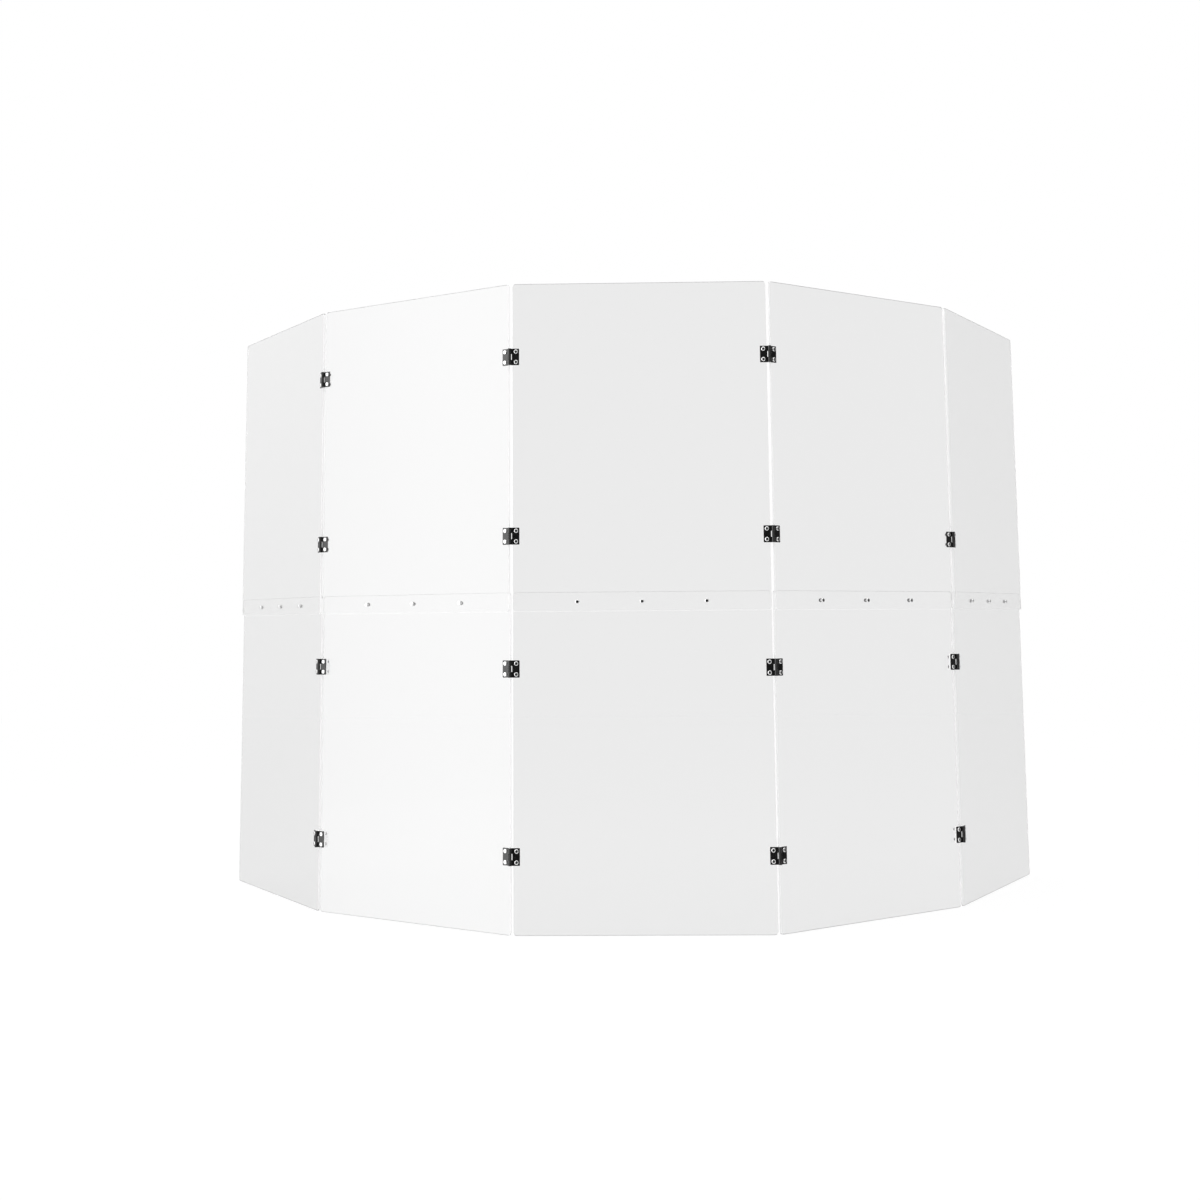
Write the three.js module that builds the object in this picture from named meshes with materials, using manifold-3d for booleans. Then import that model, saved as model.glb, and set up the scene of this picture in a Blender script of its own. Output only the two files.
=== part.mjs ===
// Folding clear screen that stands round a drum kit. Five columns, each of an upper and a
// lower acrylic sheet bolted together at a lap, are hinged edge to edge and stand on the
// bottom edges of the lower sheets.
// Millimetres, +Z up, the audience on the -Y side and the drummer on the +Y side. The origin
// is the middle of the centre column's bottom edge. Left and right are as the audience sees.

import * as THREE from 'three';
import { mergeVertices } from 'three/addons/utils/BufferGeometryUtils.js';
import Module from 'manifold-3d';

const wasm = await Module();
wasm.setup();

// Sheets
const columnWidth = 609.6;
const shieldHeight = 1524;
const lapHeight = 45;
const sheetThickness = 5;
const sheetCornerRadius = 8;

// Gap that is left between pieces clamped against each other
const seatGap = 0.3;

// How far each seam is folded towards the drummer as the shield stands, in degrees from flat
const seamFold = { far_left: 24, left: 34, right: 38, far_right: 24 };

// Hinges
const hingeHeight = 40;
const hingeFromSheetEnd = 177.8;
const leafReach = 23;
const leafThickness = 2;
const leafCornerRadius = 1.5;
const pinRadius = 1.7;
const pinClearance = 0.3;
const knuckleClearance = 0.3;
const notchClearance = 1.4;
const sheetEdgeFromPin = 6.4;
const curlTurnDegrees = 270;

// Button-head screws and their nuts
const shankRadius = 2.5;
const holeClearance = 0.3;
const headRadius = 5.25;
const headTopRadius = 3.3;
const headHeight = 2.75;
const nutAcrossFlats = 8;
const nutHeight = 4;
const tipPastNut = 1;
const screwFromPin = 15;
const screwSpacing = 25;
const lapBoltCount = 3;

// Flat faces on the round forms
const screwSides = 6;
const pinSides = 8;
const curlSteps = 6;
const sheetCornerSteps = 3;
const leafCornerSteps = 1;

// Heights that follow from the sheets
const sheetHeight = (shieldHeight + lapHeight) / 2;
const upperSheetBottom = shieldHeight - sheetHeight;
const lapBoltHeight = shieldHeight / 2;

// Planes through the screen, along Y, from the drummer's side to the audience's side
const lowerSheetBack = sheetThickness / 2;
const lowerSheetFront = lowerSheetBack - sheetThickness;
const upperSheetBack = lowerSheetFront - seatGap;
const upperSheetFront = upperSheetBack - sheetThickness;
const leafBack = upperSheetFront - seatGap;
const leafFront = leafBack - leafThickness;

// The hinge's rolled knuckle and the pin in it
const boreRadius = pinRadius + pinClearance;
const knuckleRadius = boreRadius + leafThickness;
const pinDepth = leafBack - knuckleRadius;
const pinFromColumnMiddle = columnWidth / 2 + sheetEdgeFromPin;
const knuckleHeight = (hingeHeight - 2 * knuckleClearance) / 3;

// Holes pass the screws with their clearance, and a nut's corners follow its flats
const holeRadius = shankRadius + holeClearance;
const nutCornerRadius = nutAcrossFlats / 2 / Math.cos(Math.PI / screwSides);

// The places of hinges up a seam, from the floor. The upper sheets stand one sheet nearer the
// audience than the lower ones.
const hingePlaces = [
  { number: 1, upper: false, height: hingeFromSheetEnd },
  { number: 2, upper: false, height: sheetHeight - hingeFromSheetEnd },
  { number: 3, upper: true, height: upperSheetBottom + hingeFromSheetEnd },
  { number: 4, upper: true, height: shieldHeight - hingeFromSheetEnd },
];

// The far right seam has no hinge at its top place. A seam is named after the column that it
// adds to the ones nearer the centre.
const seamHinges = {
  far_left: hingePlaces,
  left: hingePlaces,
  right: hingePlaces,
  far_right: hingePlaces.filter(({ number }) => number < hingePlaces.length),
};

// The seam along each edge of a column
const columnSeams = {
  far_left: { right: 'far_left' },
  left: { left: 'far_left', right: 'left' },
  centre: { left: 'left', right: 'right' },
  right: { left: 'right', right: 'far_right' },
  far_right: { left: 'far_right' },
};

const clearAcrylic = {
  color: 0xe4e8e8,
  roughness: 0.06,
  metalness: 0,
  transparent: true,
  opacity: 0.3,
};
const blackPaint = { color: 0x161616, roughness: 0.42, metalness: 0.1 };
const brightSteel = { color: 0xc9cbcd, roughness: 0.22, metalness: 1 };

function namedMesh(name, geometry, finish) {
  const mesh = new THREE.Mesh(geometry, new THREE.MeshStandardMaterial(finish));
  mesh.name = name;
  return mesh;
}

function toManifold(geometry) {
  const bare = geometry.clone();
  bare.deleteAttribute('normal');
  bare.deleteAttribute('uv');
  const merged = mergeVertices(bare);
  return new wasm.Manifold(
    new wasm.Mesh({
      numProp: 3,
      vertProperties: new Float32Array(merged.attributes.position.array),
      triVerts: new Uint32Array(merged.index.array),
    }),
  );
}

function toGeometry(solid) {
  const { numProp, vertProperties, triVerts } = solid.getMesh();
  const geometry = new THREE.BufferGeometry();
  geometry.setAttribute('position', new THREE.BufferAttribute(vertProperties, numProp));
  geometry.setIndex(new THREE.BufferAttribute(triVerts, 1));
  geometry.computeVertexNormals();
  return geometry;
}

// The first geometry with the others joined to it
function joined(first, ...others) {
  return toGeometry(others.reduce((solid, other) => solid.add(toManifold(other)), toManifold(first)));
}

// Points along an arc in a drawing plane, its two ends included
function arcPoints(x, y, radius, start, turn, steps) {
  return Array.from({ length: steps + 1 }, (_, step) => {
    const angle = start + (turn * step) / steps;
    return new THREE.Vector2(x + radius * Math.cos(angle), y + radius * Math.sin(angle));
  });
}

// A screw hole, with its corners in line with those of the screw's shank
function holePath({ x, height }) {
  const points = arcPoints(x, height, holeRadius, Math.PI / 2, 2 * Math.PI, screwSides);
  return new THREE.Path(points.slice(0, -1));
}

// An upright plate with rounded corners and screw holes, between two planes across Y
function uprightPlate({ left, right, bottom, top, radius, steps, front, back, holes }) {
  const quarter = Math.PI / 2;
  const outline = new THREE.Shape([
    ...arcPoints(left + radius, bottom + radius, radius, 2 * quarter, quarter, steps),
    ...arcPoints(right - radius, bottom + radius, radius, 3 * quarter, quarter, steps),
    ...arcPoints(right - radius, top - radius, radius, 0, quarter, steps),
    ...arcPoints(left + radius, top - radius, radius, quarter, quarter, steps),
  ]);
  outline.holes = holes.map(holePath);
  const plate = new THREE.ExtrudeGeometry(outline, { depth: back - front, bevelEnabled: false });
  return plate.rotateX(quarter).translate(0, back, 0);
}

// A screw along Y with its nut on it: the head is on the front plane towards the audience, and
// the nut clamps what ends at the back plane
function screwWithNut({ x, height, front, back }) {
  const nutFront = back + seatGap;
  const nutBack = nutFront + nutHeight;
  const tip = nutBack + tipPastNut;
  const profile = [
    new THREE.Vector2(0, front - headHeight),
    new THREE.Vector2(headTopRadius, front - headHeight),
    new THREE.Vector2(headRadius, front),
    new THREE.Vector2(shankRadius, front),
    new THREE.Vector2(shankRadius, nutFront),
    new THREE.Vector2(nutCornerRadius, nutFront),
    new THREE.Vector2(nutCornerRadius, nutBack),
    new THREE.Vector2(shankRadius, nutBack),
    new THREE.Vector2(shankRadius, tip),
    new THREE.Vector2(0, tip),
  ];
  return new THREE.LatheGeometry(profile, screwSides).translate(x, 0, height);
}

// The two screw places of a hinge leaf that lies to one side of its pin
function leafScrewPlaces(pinX, side, middle) {
  return [-1, 1].map((end) => ({
    x: pinX + side * screwFromPin,
    height: middle + (end * screwSpacing) / 2,
  }));
}

// A leaf before it is cut: a strip whose end is rolled round the pin into a knuckle. The pin is
// on the Z axis, the strip runs along +X and its back, which lies on the sheet, faces +Y.
function rolledStrip() {
  const start = Math.PI / 2;
  const turn = THREE.MathUtils.degToRad(curlTurnDegrees);
  const section = new THREE.Shape([
    ...arcPoints(0, 0, knuckleRadius, start, turn, curlSteps),
    ...arcPoints(0, 0, boreRadius, start + turn, -turn, curlSteps),
    new THREE.Vector2(leafReach, boreRadius),
    new THREE.Vector2(leafReach, knuckleRadius),
  ]);
  const strip = new THREE.ExtrudeGeometry(section, { depth: hingeHeight, bevelEnabled: false });
  return strip.translate(0, 0, -hingeHeight / 2);
}

// What is kept of the rolled strip, seen from the audience: its knuckles, with notches where
// the other leaf's knuckles turn, and its rounded free corners
function leafOutline(knuckleAtMiddle) {
  const half = hingeHeight / 2;
  const notchEdge = knuckleRadius + notchClearance;
  const curlEdge = -notchEdge;
  const endEdge = knuckleAtMiddle ? notchEdge : curlEdge;
  const middleEdge = knuckleAtMiddle ? curlEdge : notchEdge;
  const middleHalf = knuckleHeight / 2 + (knuckleAtMiddle ? 0 : knuckleClearance);
  const cornerX = leafReach - leafCornerRadius;
  const cornerZ = half - leafCornerRadius;
  const quarter = Math.PI / 2;
  const outline = new THREE.Shape([
    new THREE.Vector2(endEdge, -half),
    ...arcPoints(cornerX, -cornerZ, leafCornerRadius, -quarter, quarter, leafCornerSteps),
    ...arcPoints(cornerX, cornerZ, leafCornerRadius, 0, quarter, leafCornerSteps),
    new THREE.Vector2(endEdge, half),
    new THREE.Vector2(endEdge, middleHalf),
    new THREE.Vector2(middleEdge, middleHalf),
    new THREE.Vector2(middleEdge, -middleHalf),
    new THREE.Vector2(endEdge, -middleHalf),
  ]);
  const depth = 2 * (knuckleRadius + knuckleClearance);
  const cutter = new THREE.ExtrudeGeometry(outline, { depth, bevelEnabled: false });
  return cutter.rotateX(quarter).translate(0, depth / 2, 0);
}

// A leaf with its two screws and nuts, which clamp either an upper sheet alone or a lower sheet
// and the packer on it
function leafGeometry(knuckleAtMiddle, upper) {
  const strip = toManifold(rolledStrip()).intersect(toManifold(leafOutline(knuckleAtMiddle)));
  const front = leafFront - pinDepth;
  const back = (upper ? upperSheetBack : lowerSheetBack) - pinDepth;
  const screws = leafScrewPlaces(0, 1, 0).map((place) => screwWithNut({ ...place, front, back }));
  return joined(toGeometry(strip), ...screws);
}

// The leaf on the column nearer the centre has the two end knuckles, and the other leaf has the
// one in the middle. Those on the lower sheets have the longer screws.
const leaves = {
  inner: { upper: leafGeometry(false, true), lower: leafGeometry(false, false) },
  outer: { upper: leafGeometry(true, true), lower: leafGeometry(true, false) },
};

// The hinges along a column's edges, with the way that the column lies from each pin
function columnHinges(column) {
  return Object.entries(columnSeams[column]).flatMap(([edge, seam]) => {
    const side = edge === 'left' ? 1 : -1;
    const inner = seam !== column;
    const pinX = -side * pinFromColumnMiddle;
    return seamHinges[seam].map((place) => ({ ...place, seam, side, inner, pinX }));
  });
}

function screwHoles(hinges) {
  return hinges.flatMap(({ pinX, side, height }) => leafScrewPlaces(pinX, side, height));
}

// The lap bolts share out the column's width evenly
function lapBoltPlaces() {
  const spacing = columnWidth / (lapBoltCount + 1);
  return Array.from({ length: lapBoltCount }, (_, bolt) => ({
    x: (bolt + 1) * spacing - columnWidth / 2,
    height: lapBoltHeight,
    front: upperSheetFront,
    back: lowerSheetBack,
  }));
}

// The upper sheet carries the lap bolts, which pass through the lower sheet to their nuts
function upperSheet(hinges) {
  const sheet = uprightPlate({
    left: -columnWidth / 2,
    right: columnWidth / 2,
    bottom: upperSheetBottom,
    top: shieldHeight,
    radius: sheetCornerRadius,
    steps: sheetCornerSteps,
    front: upperSheetFront,
    back: upperSheetBack,
    holes: screwHoles(hinges),
  });
  return joined(sheet, ...lapBoltPlaces().map(screwWithNut));
}

// A clear packer is cemented to the lower sheet behind each hinge leaf. It brings the leaf out
// to the plane of the upper sheets, so that all the pins of a seam are in one line.
function packer({ pinX, side, height }) {
  const edges = [pinX + side * sheetEdgeFromPin, pinX + side * leafReach];
  return uprightPlate({
    left: Math.min(...edges),
    right: Math.max(...edges),
    bottom: height - hingeHeight / 2,
    top: height + hingeHeight / 2,
    radius: leafCornerRadius,
    steps: leafCornerSteps,
    front: upperSheetFront,
    back: lowerSheetFront,
    holes: leafScrewPlaces(pinX, side, height),
  });
}

function lowerSheet(hinges) {
  const sheet = uprightPlate({
    left: -columnWidth / 2,
    right: columnWidth / 2,
    bottom: 0,
    top: sheetHeight,
    radius: sheetCornerRadius,
    steps: sheetCornerSteps,
    front: lowerSheetFront,
    back: lowerSheetBack,
    holes: [...screwHoles(hinges), ...lapBoltPlaces()],
  });
  return joined(sheet, ...hinges.map(packer));
}

// A leaf that lies to the left of its pin is the same part the other way up
function leafMesh({ seam, number, upper, side, inner, pinX, height }) {
  const shape = leaves[inner ? 'inner' : 'outer'][upper ? 'upper' : 'lower'];
  const name = `${seam}_hinge_${number}_${inner ? 'inner' : 'outer'}_leaf`;
  const mesh = namedMesh(name, shape, blackPaint);
  mesh.position.set(pinX, pinDepth, height);
  mesh.rotation.y = side > 0 ? 0 : Math.PI;
  return mesh;
}

// The pin stays with the leaf on the column nearer the centre
function pinMesh({ seam, number, pinX, height }) {
  const pin = new THREE.CylinderGeometry(pinRadius, pinRadius, hingeHeight, pinSides);
  const mesh = namedMesh(`${seam}_hinge_${number}_pin`, pin, brightSteel);
  mesh.position.set(pinX, pinDepth, height);
  mesh.rotation.x = Math.PI / 2;
  return mesh;
}

function columnGroup(column) {
  const hinges = columnHinges(column);
  const lower = hinges.filter(({ upper }) => !upper);
  const upper = hinges.filter((hinge) => hinge.upper);
  return new THREE.Group().add(
    namedMesh(`${column}_lower_sheet`, lowerSheet(lower), clearAcrylic),
    namedMesh(`${column}_upper_sheet`, upperSheet(upper), clearAcrylic),
    ...hinges.map(leafMesh),
    ...hinges.filter(({ inner }) => inner).map(pinMesh),
  );
}

// Hangs a column on the pins along one edge of its neighbour, folded towards the drummer
function hangColumn(column, neighbour, side) {
  const pivot = new THREE.Group();
  pivot.position.set(side * pinFromColumnMiddle, pinDepth, 0);
  pivot.rotation.z = side * THREE.MathUtils.degToRad(seamFold[column]);
  const hung = columnGroup(column);
  hung.position.set(side * pinFromColumnMiddle, -pinDepth, 0);
  neighbour.add(pivot.add(hung));
  return hung;
}

const drumShield = columnGroup('centre');
hangColumn('far_left', hangColumn('left', drumShield, -1), -1);
hangColumn('far_right', hangColumn('right', drumShield, 1), 1);

export default drumShield;
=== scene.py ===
import functools
import math

import bmesh
import bpy
from mathutils import Matrix, Vector

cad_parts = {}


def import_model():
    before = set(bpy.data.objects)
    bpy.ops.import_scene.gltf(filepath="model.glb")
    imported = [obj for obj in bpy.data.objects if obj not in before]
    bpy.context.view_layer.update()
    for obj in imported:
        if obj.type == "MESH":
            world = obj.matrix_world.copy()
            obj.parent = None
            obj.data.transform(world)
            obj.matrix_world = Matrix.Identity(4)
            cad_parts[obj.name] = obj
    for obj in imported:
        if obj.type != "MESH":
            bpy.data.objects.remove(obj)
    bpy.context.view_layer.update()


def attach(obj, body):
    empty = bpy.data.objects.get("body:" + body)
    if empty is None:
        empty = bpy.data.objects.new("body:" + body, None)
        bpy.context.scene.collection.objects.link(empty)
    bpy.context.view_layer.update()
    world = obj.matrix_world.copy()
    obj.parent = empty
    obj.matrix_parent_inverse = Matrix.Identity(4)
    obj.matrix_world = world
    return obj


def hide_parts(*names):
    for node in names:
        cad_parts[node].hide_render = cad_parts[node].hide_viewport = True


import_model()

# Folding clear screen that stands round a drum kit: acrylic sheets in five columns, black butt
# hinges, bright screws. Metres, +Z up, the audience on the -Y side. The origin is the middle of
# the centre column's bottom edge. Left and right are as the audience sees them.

# Columns and their sheets
COLUMN_WIDTH = 0.6096
SHIELD_HEIGHT = 1.524
LAP_HEIGHT = 0.045
SHEET_THICKNESS = 0.005
SHEET_CORNER_RADIUS = 0.008
SHEET_CHAMFER = 0.0005
SEAT_GAP = 0.0003
CEMENT_GAP = 0.0001
SEAM_FOLD = {"far_left": 24, "left": 34, "right": 38, "far_right": 24}

# Hinges
HINGE_HEIGHT = 0.040
HINGE_FROM_SHEET_END = 0.1778
LEAF_REACH = 0.023
LEAF_THICKNESS = 0.002
LEAF_CORNER_RADIUS = 0.0015
LEAF_CHAMFER = 0.0003
PIN_RADIUS = 0.0017
PIN_CLEARANCE = 0.0003
PIN_CHAMFER = 0.0004
KNUCKLE_CLEARANCE = 0.0003
NOTCH_CLEARANCE = 0.0014
SHEET_EDGE_FROM_PIN = 0.0064
CURL_TURN = math.radians(288)

# Button-head screws and their nuts
SHANK_RADIUS = 0.0025
HOLE_CLEARANCE = 0.0003
HEAD_RADIUS = 0.00525
HEAD_TOP_RADIUS = 0.0031
HEAD_RIM = 0.0005
HEAD_HEIGHT = 0.00275
SOCKET_RADIUS = 0.0028
SOCKET_DEPTH = 0.0021
THREAD_PITCH = 0.0008
THREAD_DEPTH = 0.00035
THREAD_START_SHARE = 0.75
NUT_ACROSS_FLATS = 0.008
NUT_HEIGHT = 0.004
NUT_CHAMFER = 0.0005
TIP_PAST_NUT = 0.001
SCREW_FROM_PIN = 0.015
SCREW_SPACING = 0.025
LAP_BOLTS = 3

# Steps round the curved shapes
ROUND_STEPS = 24
CORNER_STEPS = 8
CURL_STEPS = 28
DOME_STEPS = 6
HEX_SIDES = 6
SMOOTH_LIMIT = math.radians(32)
MERGE_DISTANCE = 1e-6

# How straight a face looks a way to count as facing it, as the cosine of the angle between them
FACING_LEAST = 0.9
# The last is the least for an edge that faces up or down to take the darker finish of painted shade.
SHADED_EDGE_LEAST = 0.6

# The camera, fitted to the sheets' corners in the photograph. Its optical axis meets the image
# at AXIS_ROW.
IMAGE_SIZE = 1200
FOCAL_PIXELS = 1694.8
AXIS_ROW = 400
SENSOR_WIDTH = 36
CAMERA_PLACE = (0.0077, -4.0196, 0.7154)
CAMERA_PITCH = math.radians(7.446)
CAMERA_ROLL = math.radians(0.453)
CAMERA_YAW = math.radians(1.467)

# What follows from the sizes: planes through the screen along Y, and the hinge's barrel
SHEET_HEIGHT = (SHIELD_HEIGHT + LAP_HEIGHT) / 2
UPPER_BOTTOM = SHIELD_HEIGHT - SHEET_HEIGHT
LAP_BOLT_HEIGHT = SHIELD_HEIGHT / 2
LOWER_BACK = SHEET_THICKNESS / 2
LOWER_FRONT = LOWER_BACK - SHEET_THICKNESS
UPPER_BACK = LOWER_FRONT - SEAT_GAP
UPPER_FRONT = UPPER_BACK - SHEET_THICKNESS
LEAF_BACK = UPPER_FRONT - SEAT_GAP
LEAF_FRONT = LEAF_BACK - LEAF_THICKNESS
BORE_RADIUS = PIN_RADIUS + PIN_CLEARANCE
KNUCKLE_RADIUS = BORE_RADIUS + LEAF_THICKNESS
PIN_DEPTH = LEAF_BACK - KNUCKLE_RADIUS
PIN_FROM_MIDDLE = COLUMN_WIDTH / 2 + SHEET_EDGE_FROM_PIN
KNUCKLE_HEIGHT = (HINGE_HEIGHT - 2 * KNUCKLE_CLEARANCE) / 3
HOLE_RADIUS = SHANK_RADIUS + HOLE_CLEARANCE

# Hinge places up a seam, from the floor: number, on the upper sheets or not, height
HINGE_PLACES = [
    (1, False, HINGE_FROM_SHEET_END),
    (2, False, SHEET_HEIGHT - HINGE_FROM_SHEET_END),
    (3, True, UPPER_BOTTOM + HINGE_FROM_SHEET_END),
    (4, True, SHIELD_HEIGHT - HINGE_FROM_SHEET_END),
]

# The far right seam has no hinge at its top place
SEAM_HINGES = {seam: HINGE_PLACES[:3] if seam == "far_right" else HINGE_PLACES for seam in SEAM_FOLD}

# The seams along each column's edges, with the way that the column lies from each seam's pins:
# 1 to the right of them, -1 to the left
COLUMN_SEAMS = {
    "far_left": {"far_left": -1},
    "left": {"far_left": 1, "left": -1},
    "centre": {"left": 1, "right": -1},
    "right": {"right": 1, "far_right": -1},
    "far_right": {"far_right": 1},
}


# Shader maths

class Value:
    """A shader socket that adds Math nodes where it is used in an expression."""

    def __init__(self, tree, socket):
        self.tree = tree
        self.socket = socket

    def _math(self, operation, first, second):
        node = self.tree.nodes.new("ShaderNodeMath")
        node.operation = operation
        for place, value in zip(node.inputs, (first, second)):
            connect(self.tree, place, value)
        return Value(self.tree, node.outputs[0])

    def __add__(self, other):
        return self._math("ADD", self, other)

    __radd__ = __add__

    def __sub__(self, other):
        return self._math("SUBTRACT", self, other)

    def __rsub__(self, other):
        return self._math("SUBTRACT", other, self)

    def __mul__(self, other):
        return self._math("MULTIPLY", self, other)

    __rmul__ = __mul__


def connect(tree, place, value):
    """Links a Value to an input socket, or sets a plain number or colour on it."""
    if isinstance(value, Value):
        tree.links.new(value.socket, place)
    else:
        place.default_value = value


class Nodes:
    """The node tree of a material, a light or the world."""

    def __init__(self, tree):
        self.tree = tree
        tree.nodes.clear()

    def add(self, kind, settings=None, output=0, **inputs):
        """A node of a kind with its settings made first, then its inputs' values or links. It gives
        back the output that is named, or the first."""
        node = self.tree.nodes.new("ShaderNode" + kind)
        for name, setting in (settings or {}).items():
            if name == "stops":
                self._stops(node.color_ramp, setting)
            else:
                setattr(node, name, setting)
        for name, value in inputs.items():
            connect(self.tree, self._input(node, name), value)
        return Value(self.tree, node.outputs[output]) if node.outputs else None

    def _stops(self, ramp, stops):
        while len(ramp.elements) < len(stops):
            ramp.elements.new(1)
        for element, (position, level) in zip(ramp.elements, stops):
            element.position = position
            element.color = (level, level, level, 1)

    def _input(self, node, name):
        """An input by its name in lower case with _ for a space, or by its number after in_."""
        if name.startswith("in_"):
            return node.inputs[int(name[3:])]
        return next(place for place in node.inputs if place.name.lower().replace(" ", "_") == name)


def grey(level):
    return (level, level, level, 1)


def new_finish(name):
    material = bpy.data.materials.new(name)
    material.use_nodes = True
    return material, Nodes(material.node_tree)


# Finishes

# In the lap each sheet's tint is painted lighter, as painted light, so that the two sheets together
# look no darker than one sheet does elsewhere. The last value is what a sheet lets through of a
# lamp's light.
ACRYLIC_IOR = 1.49
SHEET_TINT = 0.862
LAP_TINT_PAINTED_LIGHTER = 0.928
LAMPLIGHT_SHARE = 0.8


def clear_acrylic():
    """Cast acrylic: clear, glossy, faintly wavy and hazed by handling. Lamps shine through it."""
    material, nodes = new_finish("clear_acrylic")
    place = nodes.add("TexCoord", output="Object")
    waves = nodes.add("TexNoise", vector=place, scale=2.4, detail=1.0, roughness=0.4)
    haze = nodes.add("TexNoise", vector=place, scale=9.0, detail=6.0, roughness=0.62)
    wavy = nodes.add("Bump", strength=0.25, distance=0.0006, height=waves)
    height = nodes.add("SeparateXYZ", output="Z", vector=place)
    in_lap = nodes.add(
        "Math", {"operation": "COMPARE"}, in_0=height, in_1=LAP_BOLT_HEIGHT, in_2=LAP_HEIGHT / 2
    )
    # In the lap the sheet's tint is painted lighter, as painted light that hides the darkening of two
    # sheets.
    sheet = nodes.add(
        "BsdfPrincipled",
        base_color=SHEET_TINT + in_lap * (LAP_TINT_PAINTED_LIGHTER - SHEET_TINT),
        roughness=0.008 + haze * 0.03,
        ior=ACRYLIC_IOR,
        transmission_weight=1.0,
        normal=wavy,
    )
    see_through = nodes.add("BsdfTransparent", color=grey(LAMPLIGHT_SHARE))
    for_lamps = nodes.add("LightPath", output="Is Shadow Ray")
    mixed = nodes.add("MixShader", in_0=for_lamps, in_1=sheet, in_2=see_through)
    nodes.add("OutputMaterial", surface=mixed)
    return material


def cut_edge(name, tone, glow):
    """A sheet's edge with fine saw marks in a grey tone. Its glow is painted light: an emission that
    stands in for the light that the sheet leads to its edge."""
    material, nodes = new_finish(name)
    place = nodes.add("TexCoord", output="Object")
    saw_marks = nodes.add("TexNoise", vector=place, scale=220.0, detail=3.0)
    edge = nodes.add(
        "BsdfPrincipled",
        base_color=grey(tone),
        roughness=0.18 + saw_marks * 0.25,
        ior=ACRYLIC_IOR,
        transmission_weight=0.3,
        emission_color=grey(1),
        emission_strength=glow,
        normal=nodes.add("Bump", strength=0.3, distance=0.0002, height=saw_marks),
    )
    nodes.add("OutputMaterial", surface=edge)
    return material


def black_hinge():
    """Black paint on the hinge leaves, with a fine orange peel, paler and duller where rubbed."""
    material, nodes = new_finish("black_hinge")
    place = nodes.add("TexCoord", output="Object")
    peel = nodes.add("TexNoise", vector=place, scale=900.0, detail=2.0, roughness=0.5)
    rubbed = nodes.add("TexNoise", vector=place, scale=120.0, detail=5.0, roughness=0.6)
    tone = nodes.add("ValToRGB", {"stops": [(0.3, 0.002), (0.75, 0.014)]}, fac=rubbed)
    paint = nodes.add(
        "BsdfPrincipled",
        base_color=tone,
        roughness=0.1 + rubbed * 0.1,
        specular_ior_level=0.5,
        coat_weight=0.15,
        coat_roughness=0.05,
        normal=nodes.add("Bump", strength=0.2, distance=0.0001, height=peel),
    )
    nodes.add("OutputMaterial", surface=paint)
    return material


def steel(name, dark, light, roughness):
    """Steel with cloudy tones between two levels and fine marks of handling."""
    material, nodes = new_finish(name)
    place = nodes.add("TexCoord", output="Object")
    marks = nodes.add("TexNoise", vector=place, scale=700.0, detail=4.0, roughness=0.6)
    cloudy = nodes.add("TexNoise", vector=place, scale=160.0, detail=3.0)
    tone = nodes.add("ValToRGB", {"stops": [(0.25, dark), (0.8, light)]}, fac=cloudy)
    metal = nodes.add(
        "BsdfPrincipled",
        base_color=tone,
        metallic=1.0,
        roughness=roughness + marks * 0.16,
        normal=nodes.add("Bump", strength=0.15, distance=0.0001, height=marks),
    )
    nodes.add("OutputMaterial", surface=metal)
    return material


def socket_recess():
    """The walls and floor of a screw's hex socket, painted dark as the shade in the recess, with a
    mottled tone.
    """
    material, nodes = new_finish("socket_recess")
    place = nodes.add("TexCoord", output="Object")
    shade_mottle = nodes.add("TexNoise", vector=place, scale=900.0, detail=2.0)
    tone = nodes.add("ValToRGB", {"stops": [(0.3, 0.004), (0.7, 0.02)]}, fac=shade_mottle)
    recess = nodes.add("BsdfPrincipled", base_color=tone, roughness=0.6, specular_ior_level=0.1)
    nodes.add("OutputMaterial", surface=recess)
    return material


# Mesh making

def place_piece(bm, name, column, finishes):
    """Makes an object of a bmesh that is drawn in a column's own frame, and hands it over to the
    column's body."""
    for face in bm.faces:
        face.smooth = True
    for edge in bm.edges:
        edge.smooth = edge.calc_face_angle(0) < SMOOTH_LIMIT
    mesh = bpy.data.meshes.new(name)
    bm.transform(COLUMN_FRAMES[column])
    bm.to_mesh(mesh)
    bm.free()
    piece = bpy.data.objects.new(name, mesh)
    bpy.context.scene.collection.objects.link(piece)
    for finish in finishes:
        mesh.materials.append(finish)
    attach(piece, column + "_column")
    return piece


def filled_outline(bm, outline_edges, holes, hole_radius):
    """Fills an outline in the XY plane, leaving round holes at the places given."""
    edges = list(outline_edges)
    for x, y in holes:
        circle = bmesh.ops.create_circle(
            bm, segments=ROUND_STEPS, radius=hole_radius, matrix=Matrix.Translation((x, y, 0))
        )
        edges += list({edge for vert in circle["verts"] for edge in vert.link_edges})
    filled = bmesh.ops.triangle_fill(bm, edges=edges, use_beauty=True, normal=(0, 0, 1))
    return [item for item in filled["geom"] if isinstance(item, bmesh.types.BMFace)]


def thicken(bm, faces, depth):
    """Extrudes faces in the XY plane upwards into a closed plate."""
    moved = bmesh.ops.extrude_face_region(bm, geom=faces)["geom"]
    verts = [item for item in moved if isinstance(item, bmesh.types.BMVert)]
    bmesh.ops.translate(bm, vec=(0, 0, depth), verts=verts)
    bmesh.ops.recalc_face_normals(bm, faces=bm.faces)


def chamfer_region(bm, faces, size):
    """Raises a region of faces by a size and draws its border in by as much."""
    bmesh.ops.inset_region(
        bm, faces=faces, thickness=size, depth=size, use_boundary=True, use_even_offset=True
    )


def facing(bm, direction):
    return [face for face in bm.faces if face.normal.dot(direction) > FACING_LEAST]


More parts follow.
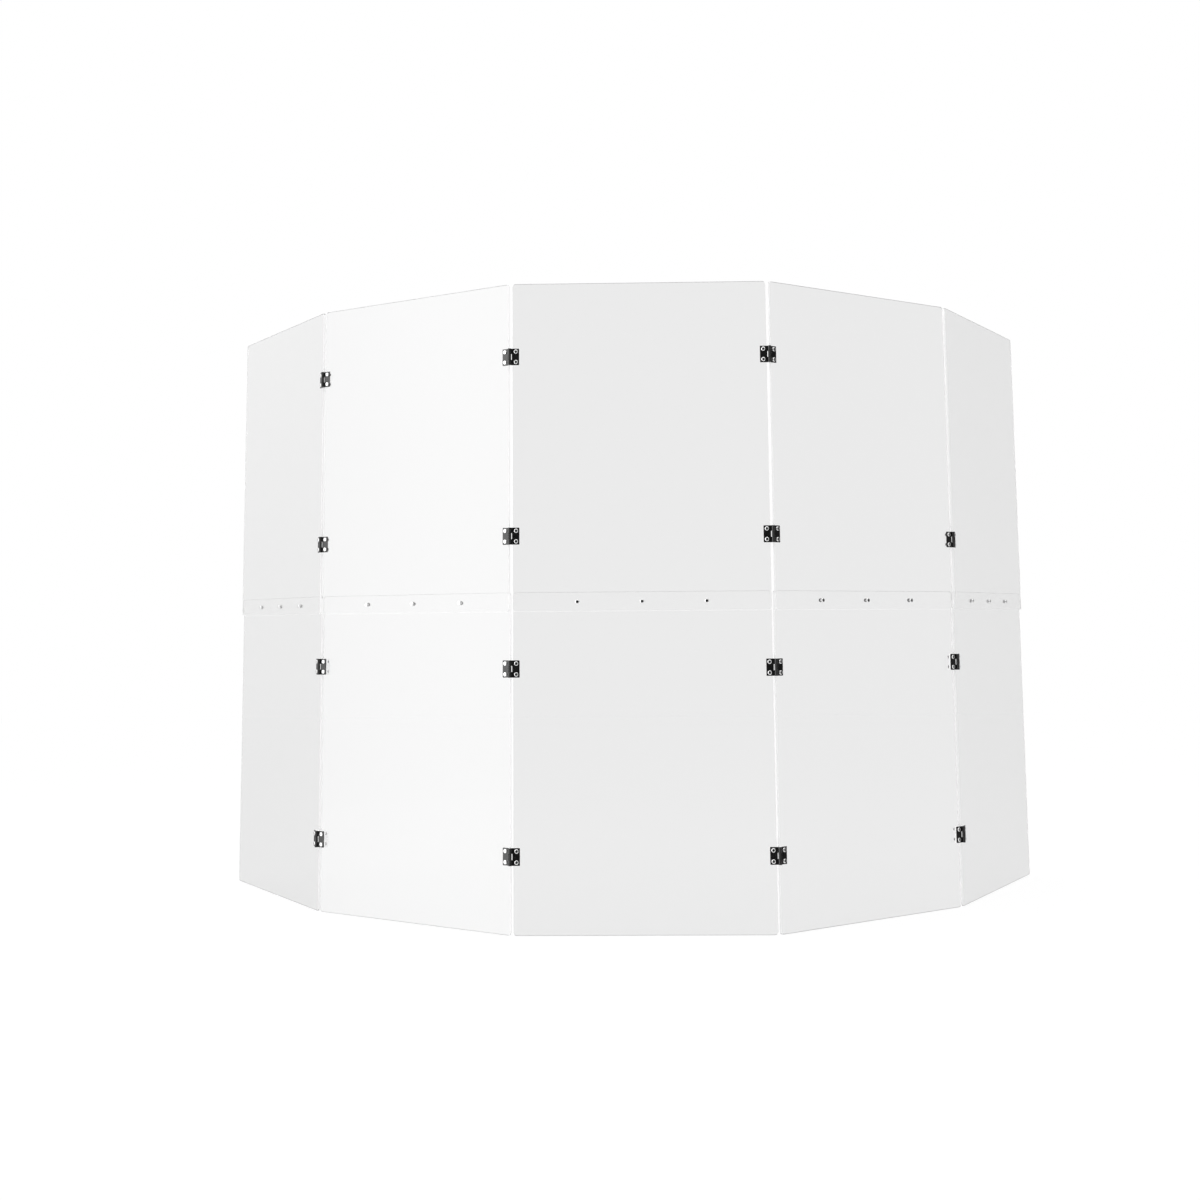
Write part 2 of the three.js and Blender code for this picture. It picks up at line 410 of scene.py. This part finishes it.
def rounded_outline(bm, corners, radius):
    """Rounds corners of the only face and leaves the edges of its outline."""
    bmesh.ops.bevel(
        bm,
        geom=corners,
        offset=radius,
        segments=CORNER_STEPS,
        profile=0.5,
        affect="VERTICES",
        material=-1,
    )
    bmesh.ops.delete(bm, geom=bm.faces[:], context="FACES_ONLY")
    return bm.edges[:]


def stand_up(bm):
    """Turns a shape that lies in the XY plane upright, with its top to the audience."""
    upright = Matrix.Rotation(math.pi / 2, 3, "X")
    bmesh.ops.rotate(bm, cent=(0, 0, 0), matrix=upright, verts=bm.verts)


def plate(left, right, bottom, top, radius, front, back, holes, chamfer):
    """An upright plate with rounded corners, round holes and chamfered borders."""
    bm = bmesh.new()
    corners = bmesh.ops.create_grid(bm, x_segments=1, y_segments=1, size=1)["verts"]
    bmesh.ops.scale(bm, vec=((right - left) / 2, (top - bottom) / 2, 1), verts=corners)
    bmesh.ops.translate(bm, vec=((left + right) / 2, (bottom + top) / 2, 0), verts=corners)
    faces = filled_outline(bm, rounded_outline(bm, corners, radius), holes, HOLE_RADIUS)
    thicken(bm, faces, back - front - 2 * chamfer)
    for direction in (Vector((0, 0, 1)), Vector((0, 0, -1))):
        chamfer_region(bm, facing(bm, direction), chamfer)
    bmesh.ops.translate(bm, vec=(0, 0, chamfer - back), verts=bm.verts)
    stand_up(bm)
    return bm


def mark_edges(bm, painted_shade=()):
    """Gives the cut edges of a sheet its second finish, which glows with painted light, and its
    third, painted darker as shade, to those that face a given way, where 1 is up and -1 down."""
    for face in bm.faces:
        if any(face.normal.z * way > SHADED_EDGE_LEAST for way in painted_shade):
            face.material_index = 2
        else:
            face.material_index = 0 if abs(face.normal.y) > FACING_LEAST else 1


def add_mesh(bm, other, matrix):
    """Adds a transformed copy of another bmesh."""
    mesh = bpy.data.meshes.new("copy")
    other.to_mesh(mesh)
    mesh.transform(matrix)
    bm.from_mesh(mesh)
    bpy.data.meshes.remove(mesh)


@functools.cache
def leaf_shape(knuckle_at_middle):
    """A hinge leaf with its pin on the Z axis: a flat strip along +X whose tabs are rolled round
    the pin into knuckles, with notches for the other leaf's knuckles. Its back faces +Y."""
    bm = bmesh.new()
    half = HINGE_HEIGHT / 2
    notch = KNUCKLE_RADIUS + NOTCH_CLEARANCE
    tab_half = KNUCKLE_HEIGHT / 2 + (0 if knuckle_at_middle else KNUCKLE_CLEARANCE)
    end_x, middle_x = (notch, 0) if knuckle_at_middle else (0, notch)
    outline = [
        (end_x, half),
        (end_x, tab_half),
        (middle_x, tab_half),
        (middle_x, -tab_half),
        (end_x, -tab_half),
        (end_x, -half),
        (LEAF_REACH, -half),
        (LEAF_REACH, half),
    ]
    corners = [bm.verts.new((x, z, 0)) for x, z in outline]
    bm.faces.new(corners)
    outline_edges = rounded_outline(bm, corners[-2:], LEAF_CORNER_RADIUS)
    holes = [(SCREW_FROM_PIN, end * SCREW_SPACING / 2) for end in (-1, 1)]
    faces = filled_outline(bm, outline_edges, holes, HOLE_RADIUS)
    thicken(bm, faces, LEAF_THICKNESS - 2 * LEAF_CHAMFER)
    bmesh.ops.translate(bm, vec=(0, 0, LEAF_CHAMFER - KNUCKLE_RADIUS), verts=bm.verts)
    stand_up(bm)
    inner_ends = facing(bm, Vector((-1, 0, 0)))
    for tab_end in [face for face in inner_ends if face.calc_center_median().x < LEAF_CHAMFER]:
        bmesh.ops.spin(
            bm,
            geom=[tab_end, *tab_end.edges, *tab_end.verts],
            cent=(0, 0, 0),
            axis=(0, 0, 1),
            angle=CURL_TURN,
            steps=CURL_STEPS,
        )
    bmesh.ops.recalc_face_normals(bm, faces=bm.faces)
    for outward, radius in ((1, KNUCKLE_RADIUS), (-1, BORE_RADIUS)):
        raise_strip_side(bm, strip_side(bm, outward), outward, radius)
    return bm


def raise_strip_side(bm, faces, outward, radius):
    """Chamfers the border of one side of a rolled strip. The flat part is raised along Y and the
    curl away from the pin, so that both end at the radius."""
    bmesh.ops.inset_region(
        bm, faces=faces, thickness=LEAF_CHAMFER, use_boundary=True, use_even_offset=True
    )
    verts = {vert for face in faces for vert in face.verts}
    flat = [vert for vert in verts if vert.co.x >= 0 and vert.co.y > BORE_RADIUS]
    growth = radius / (radius - outward * LEAF_CHAMFER)
    curl = list(verts.difference(flat))
    bmesh.ops.translate(bm, vec=(0, outward * LEAF_CHAMFER, 0), verts=flat)
    bmesh.ops.scale(bm, vec=(growth, growth, 1), verts=curl)


def strip_side(bm, outward):
    """The faces on one side of a rolled strip: outward 1 is the back of the leaf and the outside
    of its knuckles, -1 is the front and the bore."""
    found = []
    for face in bm.faces:
        centre = face.calc_center_median()
        if centre.x > 0 and face.normal.y * outward > FACING_LEAST:
            if centre.xy.length > KNUCKLE_RADIUS or centre.y * outward > BORE_RADIUS:
                found.append(face)
                continue
        radial = Vector((centre.x, centre.y, 0)).normalized()
        if centre.xy.length < KNUCKLE_RADIUS and face.normal.dot(radial) * outward > FACING_LEAST:
            found.append(face)
    return found


def spun(profile):
    """A profile of (radius, height) points turned all the way round the Z axis."""
    bm = bmesh.new()
    verts = [bm.verts.new((radius, 0, height)) for radius, height in profile]
    edges = [bm.edges.new(pair) for pair in zip(verts, verts[1:])]
    bmesh.ops.spin(
        bm,
        geom=verts + edges,
        cent=(0, 0, 0),
        axis=(0, 0, 1),
        angle=2 * math.pi,
        steps=ROUND_STEPS,
        use_merge=True,
    )
    bmesh.ops.remove_doubles(bm, verts=bm.verts, dist=MERGE_DISTANCE)
    return bm


@functools.cache
def pin_shape():
    """A hinge pin on the Z axis with chamfered ends, its middle at zero."""
    half = HINGE_HEIGHT / 2
    end_radius = PIN_RADIUS - PIN_CHAMFER
    bm = spun(
        [
            (0, half),
            (end_radius, half),
            (PIN_RADIUS, half - PIN_CHAMFER),
            (PIN_RADIUS, PIN_CHAMFER - half),
            (end_radius, -half),
            (0, -half),
        ]
    )
    bmesh.ops.recalc_face_normals(bm, faces=bm.faces)
    return bm


def dome_point(step):
    """A point of a screw head's dome, as (radius, height), from its top at step 0 to its rim."""
    angle = step * math.pi / 2 / DOME_STEPS
    return (
        HEAD_TOP_RADIUS + (HEAD_RADIUS - HEAD_TOP_RADIUS) * math.sin(angle),
        HEAD_RIM + (HEAD_HEIGHT - HEAD_RIM) * math.cos(angle),
    )


@functools.cache
def screw_shape(grip):
    """A button-head screw on the Z axis with its head upwards from zero, a hex socket in the
    head, and a thread down to past its nut."""
    tip = -(grip + SEAT_GAP + NUT_HEIGHT + TIP_PAST_NUT)
    dome = [dome_point(step) for step in range(DOME_STEPS + 1)]
    root_radius = SHANK_RADIUS - THREAD_DEPTH
    thread = []
    for turn in range(int(-tip / THREAD_PITCH) - 1):
        crest = -(turn + THREAD_START_SHARE) * THREAD_PITCH
        thread += [(SHANK_RADIUS, crest), (root_radius, crest - THREAD_PITCH / 2)]
    bm = spun([*dome, (HEAD_RADIUS, 0), (SHANK_RADIUS, 0), *thread, (root_radius, tip), (0, tip)])
    rim = [edge for edge in bm.edges if edge.is_boundary]
    mouth = bmesh.ops.create_circle(
        bm, segments=HEX_SIDES, radius=SOCKET_RADIUS, matrix=Matrix.Translation((0, 0, HEAD_HEIGHT))
    )["verts"]
    mouth_edges = list({edge for vert in mouth for edge in vert.link_edges})
    bmesh.ops.bridge_loops(bm, edges=rim + mouth_edges)
    socket = bmesh.ops.extrude_edge_only(bm, edges=mouth_edges)["geom"]
    floor_verts = [item for item in socket if isinstance(item, bmesh.types.BMVert)]
    floor_edges = [item for item in socket if isinstance(item, bmesh.types.BMEdge)]
    bmesh.ops.translate(bm, vec=(0, 0, -SOCKET_DEPTH), verts=floor_verts)
    bmesh.ops.edgeloop_fill(bm, edges=floor_edges)
    # The socket's faces take the second finish, painted dark as the shade in the recess.
    for face in {face for vert in floor_verts for face in vert.link_faces}:
        face.material_index = 1
    bmesh.ops.recalc_face_normals(bm, faces=bm.faces)
    return bm


@functools.cache
def nut_shape():
    """A hex nut on the Z axis from zero upwards, its corners turned down at both ends."""
    bm = bmesh.new()
    flat_radius = NUT_ACROSS_FLATS / 2
    corner_radius = flat_radius / math.cos(math.pi / HEX_SIDES)
    levels = [
        (ROUND_STEPS, SHANK_RADIUS, 0),
        (ROUND_STEPS, flat_radius, 0),
        (HEX_SIDES, corner_radius, NUT_CHAMFER),
        (HEX_SIDES, corner_radius, NUT_HEIGHT - NUT_CHAMFER),
        (ROUND_STEPS, flat_radius, NUT_HEIGHT),
        (ROUND_STEPS, SHANK_RADIUS, NUT_HEIGHT),
    ]
    loops = []
    for segments, radius, height in levels:
        ring = bmesh.ops.create_circle(
            bm, segments=segments, radius=radius, matrix=Matrix.Translation((0, 0, height))
        )["verts"]
        loops.append(list({edge for vert in ring for edge in vert.link_edges}))
    for one, other in zip(loops, loops[1:] + loops[:1]):
        bmesh.ops.bridge_loops(bm, edges=one + other)
    bmesh.ops.recalc_face_normals(bm, faces=bm.faces)
    return bm


# Places

def column_frames():
    """Each column's frame, from the pins that it hangs on."""
    frames = {"centre": Matrix.Identity(4)}
    for column, neighbour, side in (
        ("left", "centre", -1),
        ("far_left", "left", -1),
        ("right", "centre", 1),
        ("far_right", "right", 1),
    ):
        pin = Vector((side * PIN_FROM_MIDDLE, PIN_DEPTH, 0))
        back = Vector((side * PIN_FROM_MIDDLE, -PIN_DEPTH, 0))
        fold = Matrix.Rotation(side * math.radians(SEAM_FOLD[column]), 4, "Z")
        frames[column] = frames[neighbour] @ Matrix.Translation(pin) @ fold @ Matrix.Translation(back)
    return frames


COLUMN_FRAMES = column_frames()


def column_hinges(column):
    """The hinges along a column's edges, as (seam, number, upper, side, pin x, height)."""
    return [
        (seam, number, upper, side, -side * PIN_FROM_MIDDLE, height)
        for seam, side in COLUMN_SEAMS[column].items()
        for number, upper, height in SEAM_HINGES[seam]
    ]


def screw_places(side, pin_x, height):
    x = pin_x + side * SCREW_FROM_PIN
    return [(x, height + end * SCREW_SPACING / 2) for end in (-1, 1)]


def lap_bolt_places():
    return [
        ((bolt / (LAP_BOLTS + 1) - 0.5) * COLUMN_WIDTH, LAP_BOLT_HEIGHT)
        for bolt in range(1, LAP_BOLTS + 1)
    ]


def towards_audience(x, y, height):
    """Puts a shape that is drawn on the Z axis at a place, with its top to the audience."""
    return Matrix.Translation((x, y, height)) @ Matrix.Rotation(math.pi / 2, 4, "X")


# Pieces

def sheets(column, hinges, finishes):
    """A column's two sheets. Only the upper one's bottom edge glows with painted light as the sides
    do;
    their other top and bottom edges are painted darker, as shade.
    """
    holes = {True: [], False: []}
    for _, _, upper, side, pin_x, height in hinges:
        holes[upper] += screw_places(side, pin_x, height)
    for upper, name in ((False, "lower_sheet"), (True, "upper_sheet")):
        shape = plate(
            left=-COLUMN_WIDTH / 2,
            right=COLUMN_WIDTH / 2,
            bottom=UPPER_BOTTOM if upper else 0,
            top=SHIELD_HEIGHT if upper else SHEET_HEIGHT,
            radius=SHEET_CORNER_RADIUS,
            front=UPPER_FRONT if upper else LOWER_FRONT,
            back=UPPER_BACK if upper else LOWER_BACK,
            holes=holes[upper] + lap_bolt_places(),
            chamfer=SHEET_CHAMFER,
        )
        # Edges that face the ways given here are painted darker, as shade.
        mark_edges(shape, painted_shade=(1,) if upper else (1, -1))
        sheet = place_piece(shape, f"{column}_clear_{name}", column, finishes)
        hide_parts(f"{column}_{name}")


def packers(column, hinges, finishes):
    """The packers behind the hinge leaves on a column's lower sheet, which they are cemented to."""
    bm = bmesh.new()
    for _, _, upper, side, pin_x, height in hinges:
        if upper:
            continue
        ends = (pin_x + side * SHEET_EDGE_FROM_PIN, pin_x + side * LEAF_REACH)
        block = plate(
            left=min(ends),
            right=max(ends),
            bottom=height - HINGE_HEIGHT / 2,
            top=height + HINGE_HEIGHT / 2,
            radius=LEAF_CORNER_RADIUS,
            front=UPPER_FRONT,
            back=LOWER_FRONT - CEMENT_GAP,
            holes=screw_places(side, pin_x, height),
            chamfer=LEAF_CHAMFER,
        )
        add_mesh(bm, block, Matrix.Identity(4))
        block.free()
    mark_edges(bm)
    piece = place_piece(bm, f"{column}_packers", column, finishes)
    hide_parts(f"{column}_lower_sheet")


def fasteners(column, hinges, screw_finishes, nut_finish):
    """A column's hinge screws and lap bolts, with their nuts."""
    leaf_nodes = [leaf_name(column, seam, number) for seam, number, *_ in hinges]
    hinge_places = [
        (x, height, LEAF_FRONT, UPPER_BACK if upper else LOWER_BACK)
        for _, _, upper, side, pin_x, middle in hinges
        for x, height in screw_places(side, pin_x, middle)
    ]
    lap_places = [(x, height, UPPER_FRONT, LOWER_BACK) for x, height in lap_bolt_places()]
    for kind, places, nodes in (
        ("hinge_screw", hinge_places, leaf_nodes),
        ("lap_bolt", lap_places, [f"{column}_upper_sheet"]),
    ):
        screws = bmesh.new()
        nuts = bmesh.new()
        for x, height, front, back in places:
            add_mesh(screws, screw_shape(back - front), towards_audience(x, front, height))
            nut_back = back + SEAT_GAP + NUT_HEIGHT
            add_mesh(nuts, nut_shape(), towards_audience(x, nut_back, height))
        for shape, name, finishes in (
            (screws, f"{column}_{kind}s", screw_finishes),
            (nuts, f"{column}_{kind}_nuts", [nut_finish]),
        ):
            piece = place_piece(shape, name, column, finishes)
            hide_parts(*nodes)


def leaf_name(column, seam, number):
    return f"{seam}_hinge_{number}_{'outer' if seam == column else 'inner'}_leaf"


def hinge_pieces(column, hinges, paint, pin_finish):
    """The leaves on a column, and the pins in those that it carries for the next column."""
    for seam, number, _, side, pin_x, height in hinges:
        inner = seam != column
        turn = Matrix.Rotation(0 if side > 0 else math.pi, 4, "Y")
        place = Matrix.Translation((pin_x, PIN_DEPTH, height)) @ turn
        leaf = bmesh.new()
        add_mesh(leaf, leaf_shape(knuckle_at_middle=not inner), place)
        name = leaf_name(column, seam, number)
        piece = place_piece(leaf, f"painted_{name}", column, [paint])
        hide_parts(name)
        if inner:
            pin = bmesh.new()
            add_mesh(pin, pin_shape(), place)
            piece = place_piece(pin, f"steel_{seam}_hinge_{number}_pin", column, [pin_finish])
            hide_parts(f"{seam}_hinge_{number}_pin")


def drum_shield():
    acrylic = clear_acrylic()
    # This edge finish glows with painted light, an emission that stands in for the light the sheets
    # lead to their edges.
    painted_glow = cut_edge("polished_edge", tone=0.95, glow=0.24)
    # This edge finish is painted darker, as shade along the top and bottom edges, and has no glow.
    painted_shade = cut_edge("sawn_edge", tone=0.56, glow=0)
    paint = black_hinge()
    bright = steel("bright_steel", dark=0.84, light=0.95, roughness=0.08)
    dull = steel("dull_steel", dark=0.14, light=0.24, roughness=0.2)
    # The screws' socket recesses are painted dark, as shade.
    recess = socket_recess()
    for column in COLUMN_SEAMS:
        hinges = column_hinges(column)
        sheets(column, hinges, [acrylic, painted_glow, painted_shade])
        packers(column, hinges, [acrylic, painted_glow])
        hinge_pieces(column, hinges, paint, dull)
        fasteners(column, hinges, [bright, recess], dull)


# Studio

FLOOR_HALF_SIZE = 9.0
FLOOR_DROP = 0.001
FLOOR_TONE = 0.95
FLOOR_GLOW = 1.05
FLOOR_GLOW_SHARE = 0.85
WORLD_LEVEL = 0.75

# The walls that only gloss shows. A step along one is where it starts, where it ends, the amount
# that it changes the wall's level by, and how much more it does with each metre of height.
WALL_BOTTOM = -2.3
WALL_TOP = 4.0
WALL_FADE = 1.2
FRONT_WALL_Y = -5.5
FRONT_WALL_REACH = 2.4
FRONT_WALL_DARK_REACH = 1.1
FRONT_WALL_STEPS = [
    (-FRONT_WALL_REACH, -FRONT_WALL_DARK_REACH, -0.94, 0),
    (FRONT_WALL_DARK_REACH, FRONT_WALL_REACH, 0.94, 0),
]
SIDE_WALL_X = 3.3
SIDE_WALL_BACK = 7.0
RIGHT_WALL_FRONT = -3.0
RIGHT_WALL_STEPS = [
    (RIGHT_WALL_FRONT, -1.6, -0.9, 0),
    (-0.4, 1.5, 0.39, 0),
    (2.5, SIDE_WALL_BACK, 0.51, 0),
]
LEFT_WALL_FRONT = -5.0
LEFT_WALL_STEPS = [
    (LEFT_WALL_FRONT, -2.1, 1.65, 0.25),
    (-0.85, 0.95, -2.07, -0.07),
    (1.9, SIDE_WALL_BACK, 0.42, -0.18),
]


def camera():
    data = bpy.data.cameras.new("camera")
    data.sensor_fit = "HORIZONTAL"
    data.sensor_width = SENSOR_WIDTH
    data.lens = FOCAL_PIXELS * SENSOR_WIDTH / IMAGE_SIZE
    data.shift_y = (AXIS_ROW - IMAGE_SIZE / 2) / IMAGE_SIZE
    seen_from = bpy.data.objects.new("camera", data)
    turn = (
        Matrix.Rotation(CAMERA_YAW, 4, "Z")
        @ Matrix.Rotation(CAMERA_PITCH, 4, "X")
        @ Matrix.Rotation(CAMERA_ROLL, 4, "Y")
        @ Matrix.Rotation(math.pi / 2, 4, "X")
    )
    seen_from.matrix_world = Matrix.Translation(CAMERA_PLACE) @ turn
    bpy.context.scene.collection.objects.link(seen_from)
    bpy.context.scene.camera = seen_from


def backdrop_share(nodes):
    """1 for the rays that the eye, gloss and clear plastic see the backdrop by, else 0."""
    eye = nodes.add("LightPath", output="Is Camera Ray")
    gloss = nodes.add("LightPath", output="Is Glossy Ray")
    plastic = nodes.add("LightPath", output="Is Transmission Ray")
    return nodes.add("Clamp", value=eye + gloss + plastic)


def world():
    scene_world = bpy.data.worlds.new("studio")
    scene_world.use_nodes = True
    nodes = Nodes(scene_world.node_tree)
    light = nodes.add("Background", color=grey(1), strength=WORLD_LEVEL)
    white = nodes.add("Background", color=grey(1), strength=1.0)
    mixed = nodes.add("MixShader", in_0=backdrop_share(nodes), in_1=light, in_2=white)
    nodes.add("OutputWorld", surface=mixed)
    bpy.context.scene.world = scene_world


def stage_piece(bm, name, finish):
    """Makes an object of a bmesh that belongs to the studio."""
    mesh = bpy.data.meshes.new(name)
    bm.to_mesh(mesh)
    bm.free()
    mesh.materials.append(finish)
    piece = bpy.data.objects.new(name, mesh)
    bpy.context.scene.collection.objects.link(piece)
    return piece


def floor():
    """A pale floor that the eye sees near white, with the shadows on it."""
    bm = bmesh.new()
    bmesh.ops.create_grid(bm, x_segments=1, y_segments=1, size=FLOOR_HALF_SIZE)
    bmesh.ops.translate(bm, vec=(0, 0, -FLOOR_DROP), verts=bm.verts)
    material, nodes = new_finish("pale_floor")
    lit = nodes.add("BsdfDiffuse", color=grey(FLOOR_TONE))
    glow = nodes.add("Emission", color=grey(1), strength=FLOOR_GLOW)
    share = backdrop_share(nodes) * FLOOR_GLOW_SHARE
    mixed = nodes.add("MixShader", in_0=share, in_1=lit, in_2=glow)
    nodes.add("OutputMaterial", surface=mixed)
    piece = stage_piece(bm, "floor", material)
    piece.visible_glossy = False
    piece.visible_shadow = False


def soft_step(nodes, value, start, end):
    """0 below the start and 1 above the end, with a smooth step between them."""
    return nodes.add(
        "MapRange", {"interpolation_type": "SMOOTHSTEP"}, value=value, from_min=start, from_max=end
    )


def wall(name, one_end, other_end, steps):
    """A wall between two points of the floor plan, along X or Y. It is white where it starts, has
    its level changed by each step along it, and fades to white at its bottom and top."""
    bm = bmesh.new()
    foot = bm.edges.new([bm.verts.new((*end, WALL_BOTTOM)) for end in (one_end, other_end)])
    raised = bmesh.ops.extrude_edge_only(bm, edges=[foot])["geom"]
    top = [item for item in raised if isinstance(item, bmesh.types.BMVert)]
    bmesh.ops.translate(bm, vec=(0, 0, WALL_TOP - WALL_BOTTOM), verts=top)
    material, nodes = new_finish(name)
    place = nodes.add("TexCoord", output="Object")
    along = nodes.add("SeparateXYZ", output="X" if one_end[1] == other_end[1] else "Y", vector=place)
    height = nodes.add("SeparateXYZ", output="Z", vector=place)
    middle = soft_step(nodes, height, WALL_BOTTOM, WALL_BOTTOM + WALL_FADE)
    middle = middle * (1 - soft_step(nodes, height, WALL_TOP - WALL_FADE, WALL_TOP))
    level = 1
    for start, end, amount, rise in steps:
        level = level + middle * soft_step(nodes, along, start, end) * (amount + height * rise)
    glow = nodes.add("Emission", color=level, strength=1.0)
    nodes.add("OutputMaterial", surface=glow)
    piece = stage_piece(bm, name, material)
    piece.visible_camera = False
    piece.visible_diffuse = False
    piece.visible_transmission = False
    piece.visible_shadow = False


def softbox(name, place, aim, width, height, radiance, in_gloss):
    """A rectangular lamp of an even brightness, aimed at a point. Gloss shows it or doesn't."""
    data = bpy.data.lights.new(name, "AREA")
    data.shape = "RECTANGLE"
    data.size = width
    data.size_y = height
    data.energy = radiance * math.pi * width * height
    lamp = bpy.data.objects.new(name, data)
    turn = (Vector(aim) - Vector(place)).to_track_quat("-Z", "Y").to_matrix().to_4x4()
    lamp.matrix_world = Matrix.Translation(place) @ turn
    lamp.visible_transmission = False
    lamp.visible_glossy = in_gloss
    bpy.context.scene.collection.objects.link(lamp)


def studio():
    camera()
    world()
    floor()
    wall(
        "front_wall",
        (-FRONT_WALL_REACH, FRONT_WALL_Y),
        (FRONT_WALL_REACH, FRONT_WALL_Y),
        FRONT_WALL_STEPS,
    )
    wall(
        "right_wall",
        (SIDE_WALL_X, RIGHT_WALL_FRONT),
        (SIDE_WALL_X, SIDE_WALL_BACK),
        RIGHT_WALL_STEPS,
    )
    wall(
        "left_wall",
        (-SIDE_WALL_X, LEFT_WALL_FRONT),
        (-SIDE_WALL_X, SIDE_WALL_BACK),
        LEFT_WALL_STEPS,
    )
    softbox(
        "left_softbox",
        place=(-SIDE_WALL_X, -0.9, 0.8),
        aim=(0, -0.9, 0.8),
        width=3.0,
        height=3.8,
        radiance=1.85,
        in_gloss=False,
    )
    softbox(
        "overhead_softbox",
        place=(0.2, -1.0, 3.6),
        aim=(0, 0.3, 0.6),
        width=2.2,
        height=1.6,
        radiance=1.2,
        in_gloss=True,
    )


bpy.context.scene.view_settings.view_transform = "Standard"
drum_shield()
studio()
